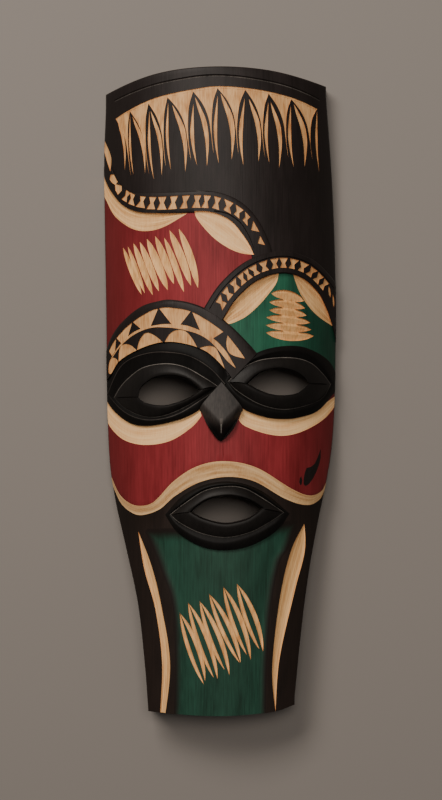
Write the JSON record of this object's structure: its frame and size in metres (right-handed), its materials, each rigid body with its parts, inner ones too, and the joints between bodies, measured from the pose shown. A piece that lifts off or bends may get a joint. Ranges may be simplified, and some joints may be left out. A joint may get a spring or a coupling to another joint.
{
  "type": "carved wooden mask",
  "caption": "Long carved wooden face mask with raised almond eyes and lips, a fringe, chip-carved bands and a hollow back.",
  "frame": {"origin": "middle of the footprint, on the surface the mask lies on, under its back rim", "axes": "+X to the right across the face as seen from the front, +Y up the face towards the domed top, +Z out of the face"},
  "size_m": [0.1474, 0.4, 0.0539],
  "materials": {
    "painted_wood": "black painted carved wood with red and green fields and bare wood cuts, satin"
  },
  "bodies": {
    "root": {"mask": "painted_wood"}
  },
  "joints": []
}
